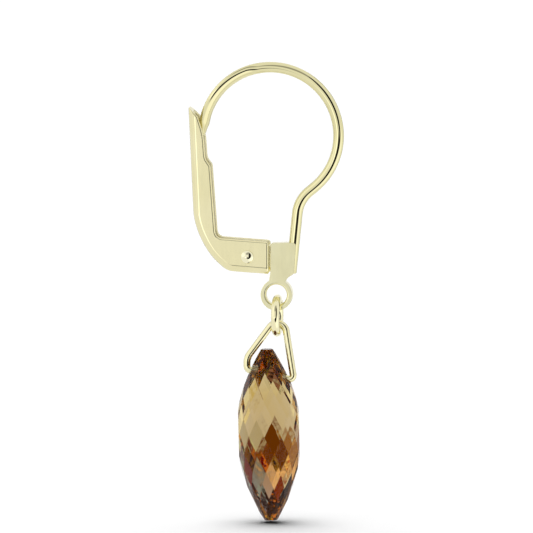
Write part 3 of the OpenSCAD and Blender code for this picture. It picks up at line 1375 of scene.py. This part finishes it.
@dataclass
class Bail:
    """The three-cornered wire whose two ends turn in to the drilled holes."""

    wire_r: float = 0.27
    sides: int = 32
    top_centre: Pair = (0.48, -19.99)
    top_r: float = 0.7
    left_x: float = -1.85
    left_top_z: float = -21.98
    left_round: float = 1.2
    right_x: float = 1.77
    left_foot_round: float = 0.36
    right_foot_round: float = 0.3
    left_pin_end: float = -0.9
    right_pin_end: float = 0.8
    pin_line: DrillLine = DrillLine()
    pin_round: float = 0.06
    pin_round_steps: int = 4

    def build(self) -> Object:
        """Draws the wire from one pin, round the three corners, to the other pin.

        Returns:
            The bail.
        """
        left_foot = self.pin_line.at(self.left_x)
        right_foot = self.pin_line.at(self.right_x)
        left_top = (self.left_x, self.left_top_z)
        apex = self._apex(left_top, right_foot)
        start = self.pin_line.at(self.left_pin_end)
        end = self.pin_line.at(self.right_pin_end)
        wire = WireWork("bail_wire", self.sides)
        wire.begin(start, heading_of(start, left_foot), self.wire_r)
        wire.follow([left_foot, left_top, apex, right_foot, end],
            [self.left_foot_round, self.left_round, self.top_r, self.right_foot_round])
        wire.cap_ends()
        wire.round_ends(self.pin_round, self.pin_round_steps)
        return wire.finish(SMOOTH_LINK)

    def _apex(self, left: Pair, right: Pair) -> Pair:
        """Gives the corner above the top bend where the lines of the two legs meet.

        Args:
            left: A point on the left leg's line.
            right: A point on the right leg's line.

        Returns:
            The corner.
        """
        left_reach = distance(left, self.top_centre)
        right_reach = distance(right, self.top_centre)
        left_line = math.radians(heading_of(left, self.top_centre)) + math.asin(
            self.top_r / left_reach)
        right_line = math.radians(heading_of(right, self.top_centre)) - math.asin(
            self.top_r / right_reach)
        along = Vector((math.cos(left_line), math.sin(left_line)))
        across = Vector((math.cos(right_line), math.sin(right_line)))
        apart = Vector(right) - Vector(left)
        run = apart.cross(across) / along.cross(across)
        corner = Vector(left) + along * run
        return (corner.x, corner.y)


@dataclass
class Briolette:
    """The long drop of smoky quartz, cut in rows of flat four-cornered facets."""

    top: Pair = (-0.32, -21.28)
    lean: float = 1.4
    facets_round: int = 12
    facet_turn: float = 29.4
    belt_row: int = 5
    belt_r: float = 2.43
    widest_r: float = 2.51
    side_turn: float = 7.0
    side_reach: float = 2.32
    row_steps: tuple[float, ...] = (
        0.74, 0.94, 1.08, 1.16, 1.26, 1.34, 1.37, 1.34, 1.28, 1.12, 0.9, 0.64)
    same_facet: float = 0.4
    edge_round: float = 0.012
    drill_line: DrillLine = DrillLine()
    drill_r: float = 0.36
    drill_sides: int = 48
    drill_ends: Pair = (-0.8, 0.7)
    drill_out: float = 4.0
    bore_wall_reach: float = 1.01
    bore_wall_lean: float = 0.1

    def row_radius(self, row: int) -> float:
        """Gives the radius of a row of corners: three rows in turn keep every facet flat.

        Args:
            row: The row, counted down from the top.

        Returns:
            The row's radius.
        """
        if row == self.belt_row:
            return self.belt_r
        if row == self.belt_row + 1:
            return self.widest_r
        side = -1 if row > self.belt_row else 1
        first = row - 1 if side < 0 else row
        second = row - 2 if side < 0 else row + 1
        ratio = self.row_steps[first] / self.row_steps[second]
        near = self.row_radius(row + side)
        far = self.row_radius(row + 2 * side)
        return math.cos(math.pi / self.facets_round) * near * (1.0 + ratio) - ratio * far

    def build(self) -> Object:
        """Wraps the rows of corners, cleans the flat facets, softens their edges and drills it.

        Returns:
            The stone.
        """
        stone = Work("briolette")
        across, up = self.top
        for row in range(len(self.row_steps) + 1):
            height = up - sum(self.row_steps[:row])
            turn = self.facet_turn + (row % 2) * 180.0 / self.facets_round
            place = in_front_view(across, height)
            tilt = (0.0, 0.0, math.radians(turn))
            if row == 0:
                stone.start_circle(place, self.row_radius(row), self.facets_round, tilt)
                bpy.ops.object.mode_set(mode="OBJECT")
                bpy.ops.object.transform_apply(location=True, rotation=True, scale=True)
                bpy.ops.object.mode_set(mode="EDIT")
            else:
                bpy.ops.mesh.primitive_circle_add(vertices=self.facets_round,
                    radius=self.row_radius(row), location=place, rotation=tilt)
        stone.pick_all()
        bpy.ops.mesh.convex_hull(join_triangles=False)
        stone.pick_all()
        bpy.ops.mesh.dissolve_limited(angle_limit=math.radians(self.same_facet))
        for side in (0.0, 180.0):
            turn = math.radians(self.side_turn + side)
            out = Vector((math.cos(turn), math.sin(turn), 0.0))
            stone.pick_all()
            bpy.ops.mesh.bisect(plane_co=in_front_view(across, up) + out * self.side_reach,
                plane_no=out, use_fill=True, clear_outer=True)
        stone.pick_all()
        bpy.ops.mesh.bevel(offset=self.edge_round, segments=1, affect="EDGES")
        stone.lay_down()
        bpy.context.scene.cursor.location = in_front_view(across, up)
        bpy.ops.object.origin_set(type="ORIGIN_CURSOR")
        stone.piece.rotation_euler = (0.0, -math.radians(self.lean), 0.0)
        bpy.context.scene.cursor.location = (0.0, 0.0, 0.0)
        for end, side in zip(self.drill_ends, (-1.0, 1.0)):
            middle = end + side * self.drill_out / 2.0
            drill = Work("drill")
            tilt = (0.0, math.radians(90.0 + self.drill_line.tilt), 0.0)
            drill.start_rod(in_front_view(*self.drill_line.at(middle)), self.drill_r,
                self.drill_out, tilt, self.drill_sides)
            stone.cut_with(drill)
        return self._finish(stone)

    def _finish(self, stone: Work) -> Object:
        """Keeps the facets flat, shades the drilled holes smooth, and brings the stone to metres.

        Args:
            stone: The cut stone.

        Returns:
            The finished piece.
        """
        tilt = math.radians(self.drill_line.tilt)
        axis = Vector((math.cos(tilt), 0.0, -math.sin(tilt)))
        middle = in_front_view(*self.drill_line.centre)
        stone.bake_place()
        bpy.ops.object.shade_flat()
        bpy.ops.object.mode_set(mode="EDIT")
        stone.pick(Pick.FACES, lambda place, face: (
            (place - middle).cross(axis).length < self.drill_r * self.bore_wall_reach
            and abs(face.normal.dot(axis)) < self.bore_wall_lean))
        bpy.ops.mesh.faces_shade_smooth()
        stone.add_slots(2)
        stone.piece.active_material_index = 1
        bpy.ops.object.material_slot_assign()
        return stone.bring_to_metres()


@dataclass(frozen=True)
class Lamp:
    """A soft light that shines down: how wide it looks from below, and its turn about X and Y."""

    name: str
    spread: float
    strength: float
    tilt: Pair


@dataclass
class Studio:
    """The pale floor, the soft light and the camera at the photograph's angle."""

    floor_z: float = -34.62
    floor_half: float = 3000.0
    floor_dark: Triple = (0.88, 0.88, 0.88)
    floor_pale: Triple = (0.9, 0.9, 0.9)
    floor_tone: Grain = Grain(12.0, 2.0, 0.5)
    floor_span: Pair = (0.3, 0.7)
    floor_dull: float = 0.9
    lamps: tuple[Lamp, ...] = (
        Lamp("key", 57.0, 3.56, (-9.0, -5.0)), Lamp("fill", 150.0, 0.17, (0.0, 0.0)))
    lamp_height: float = 0.5
    azimuth: float = 7.0
    elevation: float = 7.0
    camera_reach: float = 1.5
    frame_px: float = 533.0
    px_per_mm: float = 13.1
    origin_px: Pair = (271.0, 72.5)
    sensor: float = 36.0
    sight: Pair = (0.01, 20.0)
    clear_bounces: int = 32
    mirror_bounces: int = 12

    def build_camera(self) -> None:
        """Sets the camera up so that the part fills the frame as in the photograph."""
        turn = math.radians(self.azimuth)
        back = way(self.azimuth, self.elevation)
        right = Vector((math.cos(turn), math.sin(turn), 0.0))
        above = back.cross(right)
        middle = self.frame_px / 2.0
        off_right = (middle - self.origin_px[0]) / self.px_per_mm
        off_up = (self.origin_px[1] - middle) / self.px_per_mm
        aim = (right * off_right + above * off_up) * METRES_PER_MM
        bpy.ops.object.camera_add(location=aim + back * self.camera_reach)
        camera = bpy.context.active_object
        camera.name = "camera"
        camera.rotation_euler = Matrix((right, above, back)).transposed().to_euler()
        camera.data.sensor_width = self.sensor
        frame_m = self.frame_px / self.px_per_mm * METRES_PER_MM
        camera.data.lens = self.sensor * self.camera_reach / frame_m
        camera.data.clip_start, camera.data.clip_end = self.sight
        bpy.context.scene.camera = camera

    def build_floor(self) -> None:
        """Lays the plain pale floor just under the stone."""
        clear_bench()
        size = 2.0 * self.floor_half * METRES_PER_MM
        height = self.floor_z * METRES_PER_MM
        bpy.ops.mesh.primitive_plane_add(size=size, location=(0.0, 0.0, height))
        floor = bpy.context.active_object
        floor.name = "floor"
        bpy.ops.object.transform_apply(location=True, rotation=True, scale=True)
        kit = NodeBench.for_material("pale_floor")
        place = kit.add("ShaderNodeTexCoord").outputs["Object"]
        shader = kit.add("ShaderNodeBsdfPrincipled")
        shader.inputs["Roughness"].default_value = self.floor_dull
        shader.inputs["Specular IOR Level"].default_value = 0.0
        tone = kit.noise(place, self.floor_tone)
        coloured = kit.ramp(tone, self.floor_span, self.floor_dark, self.floor_pale)
        kit.link(coloured, shader.inputs["Base Color"])
        floor.data.materials.append(kit.surface(shader.outputs["BSDF"]))
        floor.visible_glossy = False
        floor.visible_transmission = False

    def build_lights(self) -> None:
        """Sets up the soft light that casts the shadow, and the broad one that fills it."""
        for lamp in self.lamps:
            turn = (math.radians(lamp.tilt[0]), math.radians(lamp.tilt[1]), 0.0)
            bpy.ops.object.light_add(type="SUN", location=(0.0, 0.0, self.lamp_height),
                rotation=turn)
            light = bpy.context.active_object
            light.name = lamp.name
            light.data.angle = math.radians(lamp.spread)
            light.data.energy = lamp.strength
            light.visible_glossy = False
            light.visible_transmission = False

    def build_world(self) -> None:
        """Paints the white tent round the part, with the darker gaps that the gold mirrors."""
        kit = NodeBench.for_world("tent")
        look = kit.add("ShaderNodeTexCoord").outputs["Generated"]
        path = kit.add("ShaderNodeLightPath").outputs
        seen = kit.maths("MAXIMUM", METAL_TENT.paint(kit, look), path["Is Camera Ray"])
        colour = kit.blend(path["Is Transmission Ray"], seen, STONE_TENT.paint(kit, look))
        background = kit.add("ShaderNodeBackground")
        kit.link(colour, background.inputs["Color"])
        output = kit.add("ShaderNodeOutputWorld")
        kit.link(background.outputs["Background"], output.inputs["Surface"])
        bpy.context.scene.world = kit.owner
        kit.owner.cycles_visibility.diffuse = False

    def set_view(self) -> None:
        """Sets how light is turned into colour, and how deep light goes into the stone."""
        scene = bpy.context.scene
        scene.view_settings.view_transform = "Standard"
        scene.view_settings.look = "None"
        scene.cycles.max_bounces = self.clear_bounces
        scene.cycles.transmission_bounces = self.clear_bounces
        scene.cycles.glossy_bounces = self.mirror_bounces
        scene.cycles.caustics_refractive = False
        scene.cycles.caustics_reflective = False


@dataclass(frozen=True)
class Card:
    """A soft-edged card or window in the tent, which changes its brightness by direction."""

    azimuth: float
    elevation: float
    half_width: float
    half_height: float
    change: float
    turn: float = 0.0
    soft: float = 0.3


@dataclass(frozen=True)
class Tent:
    """The brightness of the white tent by direction, as the metal or the stone meets it."""

    base: float
    cards: tuple[Card, ...]
    lowest: float = 0.02

    def paint(self, kit: NodeBench, look: NodeSocket) -> NodeSocket:
        """Adds up the tent and its cards.

        Args:
            kit: The world's node bench.
            look: The direction.

        Returns:
            The brightness.
        """
        level = kit.maths("ADD", self.base, 0.0)
        for card in self.cards:
            level = kit.maths("ADD", level, self._shape(kit, look, card))
        return kit.maths("MAXIMUM", level, self.lowest)

    @staticmethod
    def _shape(kit: NodeBench, look: NodeSocket, card: Card) -> NodeSocket:
        """Works out a card's change inside its outline, eased to 0 outside it.

        Args:
            kit: The world's node bench.
            look: The direction.
            card: The card.

        Returns:
            The change of brightness.
        """
        front = way(card.azimuth, card.elevation)
        level_right = Vector((-front.y, front.x, 0.0)).normalized()
        level_above = front.cross(level_right) * -1.0
        turn = math.radians(card.turn)
        right = level_right * math.cos(turn) + level_above * math.sin(turn)
        above = level_above * math.cos(turn) - level_right * math.sin(turn)
        depth = kit.maths("MAXIMUM", kit.dot(look, front), LEAST_DEPTH)
        across = kit.maths("DIVIDE", kit.dot(look, right), depth)
        up = kit.maths("DIVIDE", kit.dot(look, above), depth)
        across = kit.maths("DIVIDE", across, math.tan(math.radians(card.half_width)))
        up = kit.maths("DIVIDE", up, math.tan(math.radians(card.half_height)))
        reach = kit.maths("SQRT", kit.maths("ADD", kit.maths("POWER", across, 2.0),
            kit.maths("POWER", up, 2.0)))
        return kit.spread(reach, (1.0 - card.soft, 1.0 + card.soft), (card.change, 0.0), True)


METAL_TENT = Tent(0.93, (
    Card(37.0, 12.0, 15.0, 30.0, -2.2, turn=10.0),
    Card(13.0, -18.0, 11.0, 20.0, -1.5, turn=100.0),
    Card(12.0, 46.0, 27.0, 16.0, -0.55, turn=-15.0),
    Card(-21.0, -7.0, 12.0, 6.0, 0.6, turn=9.0),
    Card(56.0, -27.0, 35.0, 29.0, 0.3, turn=-11.0),
    Card(-61.0, 18.0, 27.0, 25.0, 0.22),
    Card(150.0, 5.0, 6.0, 40.0, -0.7),
    Card(-150.0, 5.0, 6.0, 40.0, -0.7),
))


@dataclass(frozen=True)
class Panel:
    """A coloured panel that the stone gathers, set behind it and again in front of it."""

    left: float
    right: float
    low: float
    high: float
    colour: Triple


@dataclass(frozen=True)
class StoneTent:
    """What the stone gathers: a pale sweep below the level, and darker, warmer things above."""

    sweep: tuple[Band, ...] = (
        (-90.0, 0.03, 0.02, 0.015), (-61.1, 0.063, 0.051, 0.019), (-49.8, 0.033, 0.022, 0.038),
        (-39.6, 0.073, 0.026, 0.001), (-37.6, 0.091, 0.15, 0.017), (-37.3, 0.57, 0.54, 0.55),
        (-31.3, 0.84, 0.81, 0.8), (-27.3, 0.71, 0.67, 0.7), (-12.3, 0.73, 0.72, 1.0),
        (-6.5, 0.54, 0.53, 0.65), (-3.5, 0.56, 0.53, 0.6), (-3.1, 0.16, 0.028, 0.003),
        (7.4, 0.15, 0.071, 0.002), (7.7, 0.1, 0.017, 0.003), (26.5, 0.07, 0.026, 0.002),
        (26.8, 0.007, 0.002, 0.001), (35.5, 0.28, 0.11, 0.005), (46.1, 0.9, 0.6, 0.01),
        (60.1, 0.078, 0.027, 0.006), (90.0, 0.1, 0.06, 0.03))
    panels: tuple[Panel, ...] = (
        Panel(-93.0, -37.0, -45.0, -8.0, (1.0, 1.0, 1.0)),
        Panel(51.0, 94.0, -41.5, -13.0, (1.0, 1.0, 1.0)),
        Panel(-86.0, -21.0, -2.0, 3.5, (0.72, 0.82, 0.83)),
        Panel(-17.0, -5.0, -38.5, -25.5, (0.22, 0.085, 0.002)),
        Panel(-1.0, 17.0, -11.5, -1.5, (0.17, 0.052, 0.003)),
        Panel(25.0, 81.0, -8.0, 19.0, (0.36, 0.17, 0.049)),
        Panel(18.0, 69.0, 2.5, 8.0, (1.0, 0.65, 0.27)),
        Panel(11.0, 29.0, 4.0, 10.5, (0.35, 0.19, 0.018)),
        Panel(-11.0, 8.0, 1.0, 7.5, (0.62, 0.2, 0.006)),
        Panel(-10.0, 88.0, 7.5, 15.5, (1.0, 0.64, 0.42)),
        Panel(-2.0, 16.0, 8.0, 18.0, (0.45, 0.33, 0.39)),
        Panel(-22.0, -3.0, 9.0, 25.5, (0.26, 0.28, 0.43)),
        Panel(-17.0, 0.0, 15.0, 20.0, (0.27, 0.32, 0.45)),
        Panel(-66.0, -24.0, 13.5, 27.0, (0.36, 0.48, 0.58)),
        Panel(-37.0, -22.0, 6.5, 15.0, (0.16, 0.016, 0.005)),
        Panel(23.0, 37.0, 11.0, 17.0, (0.22, 0.033, 0.001)),
        Panel(28.0, 43.0, 14.0, 21.0, (0.74, 0.76, 0.76)),
        Panel(26.0, 58.0, 21.0, 29.5, (0.004, 0.003, 0.002)),
        Panel(58.0, 70.0, 15.5, 32.5, (0.21, 0.16, 0.21)),
        Panel(-40.0, -1.0, -58.5, -44.5, (0.36, 0.21, 0.011)),
        Panel(2.0, 29.0, -62.5, -42.5, (0.27, 0.23, 0.017)),
        Panel(-40.0, -26.0, -31.5, -23.5, (0.67, 0.55, 0.25)),
        Panel(7.0, 32.0, -40.0, -37.5, (0.27, 0.13, 0.11)),
        Panel(25.0, 50.0, 5.5, 8.5, (0.1, 0.001, 0.001)),
        Panel(-37.0, 12.0, 2.5, 5.0, (0.15, 0.003, 0.001)),
        Panel(27.0, 38.0, -31.5, -25.5, (0.05, 0.02, 0.01)),
        Panel(50.0, 75.0, -68.0, -56.0, (0.8, 0.36, 0.2)),
        Panel(62.0, 88.0, 3.0, 10.0, (0.03, 0.02, 0.01)))
    panel_edge: float = 0.7
    fleck: Grain = Grain(34.0, 2.0, 0.6)
    dark_fleck: Triple = (0.03, 0.01, 0.006)
    dark_span: Pair = (0.49, 0.47)
    warm_fleck: Triple = (0.62, 0.17, 0.02)
    warm_span: Pair = (0.61, 0.63)
    flecked: tuple[Pair, ...] = ((2.6, 7.8), (18.0, 60.0), (-80.0, -40.0))

    def paint(self, kit: NodeBench, look: NodeSocket) -> NodeSocket:
        """Paints the sweep, lays the panels over it and scatters the flecks.

        Args:
            kit: The world's node bench.
            look: The direction.

        Returns:
            The colour.
        """
        axes = kit.add("ShaderNodeSeparateXYZ")
        kit.link(look, axes.inputs["Vector"])
        degree = math.degrees(1.0)
        rise = kit.maths("MULTIPLY", kit.maths("ARCSINE", axes.outputs["Z"]), degree)
        turn = kit.maths("ARCTAN2", axes.outputs["X"], axes.outputs["Y"])
        round_way = kit.maths("WRAP", kit.maths("MULTIPLY", turn, -degree), 90.0, -90.0)
        colour = kit.bands(kit.spread(rise, (-90.0, 90.0), (0.0, 1.0)), self.sweep)
        for panel in self.panels:
            inside = kit.maths("MULTIPLY",
                self._between(kit, round_way, panel.left, panel.right),
                self._between(kit, rise, panel.low, panel.high))
            colour = kit.blend(inside, colour, kit.tone(panel.colour))
        flecks = kit.noise(look, self.fleck)
        first, *others = [self._between(kit, rise, low, high) for low, high in self.flecked]
        busy = first
        for other in others:
            busy = kit.maths("MAXIMUM", busy, other)
        looks = ((self.dark_span, self.dark_fleck), (self.warm_span, self.warm_fleck))
        for span, fleck in looks:
            share = kit.maths("MULTIPLY", kit.spread(flecks, span, (0.0, 1.0)), busy)
            colour = kit.blend(share, colour, kit.tone(fleck))
        return colour

    def _between(self, kit: NodeBench, value: NodeSocket, low: float, high: float) -> NodeSocket:
        """Marks what lies between two values, with soft edges.

        Args:
            kit: The world's node bench.
            value: The value.
            low: The lower edge.
            high: The upper edge.

        Returns:
            1 between the two and 0 outside them.
        """
        edge = self.panel_edge
        return kit.maths("MULTIPLY",
            kit.spread(value, (low - edge, low + edge), (0.0, 1.0), True),
            kit.spread(value, (high - edge, high + edge), (1.0, 0.0), True))


STONE_TENT = StoneTent()


def main() -> None:
    """Builds the earring and its studio, piece by piece."""
    logging.basicConfig(level=logging.INFO, format="%(name)s: %(message)s")
    polished = GoldFinish("gold_polished").make()
    # The plate's gold is painted paler and brighter than the lever's: painted light that lifts the
    # plate. Only its higher roughness is the stamped sheet's own finish.
    stamped_painted_light = GoldFinish("gold_stamped", bright=(0.88, 0.84, 0.545), deep=(0.835, 0.79, 0.49),
        gloss=0.14, dull=0.2).make()
    unpolished = GoldFinish("gold_unpolished", bright=(0.95, 0.9, 0.66), deep=(0.92, 0.87, 0.6),
        gloss=0.5, dull=0.62).make()
    ringed = GoldFinish("gold_ringed", bright=(0.93, 0.88, 0.58), deep=(0.9, 0.84, 0.53),
        gloss=0.02, dull=0.05).make()
    # The rivet's gold is painted paler and brighter so that its domed heads look more lit: a
    # painted highlight, not a different gold.
    headed_painted_highlight = GoldFinish("gold_headed", bright=(0.93, 0.89, 0.64), deep=(0.9, 0.85, 0.58),
        gloss=0.03, dull=0.06).make()
    drawn = GoldFinish("gold_drawn", bright=(0.815, 0.765, 0.46), deep=(0.78, 0.725, 0.415),
        gloss=0.015, dull=0.035, press=PRESSED_BEND).make()
    linked = GoldFinish("gold_linked", gloss=0.02, dull=0.05).make()
    quartz = QuartzFinish("quartz_polished").make()
    frosted = QuartzFinish("quartz_drilled", gloss=0.25, dull=0.45).make()
    hook = EarHook()
    settle(hook.build_wire(), Body.HOOK, Slot.GOLD, "ear_hook", drawn)
    settle(hook.build_plate(), Body.HOOK, Slot.GOLD, "ear_hook", stamped_painted_light)
    settle(hook.build_lug(), Body.HOOK, Slot.GOLD, "ear_hook", unpolished)
    settle(Lever().build(), Body.LEVER, Slot.GOLD, "lever", polished, unpolished)
    settle(Rivet().build(), Body.LEVER, Slot.GOLD, "rivet", headed_painted_highlight)
    settle(JumpRing().build(), Body.JUMP_RING, Slot.GOLD, "jump_ring", ringed)
    settle(Bail().build(), Body.BAIL, Slot.GOLD, "bail", linked)
    settle(Briolette().build(), Body.STONE, Slot.QUARTZ, "stone", quartz, frosted)
    studio = Studio()
    studio.build_floor()
    studio.build_lights()
    studio.build_world()
    studio.build_camera()
    studio.set_view()


if __name__ == "__main__":
    main()
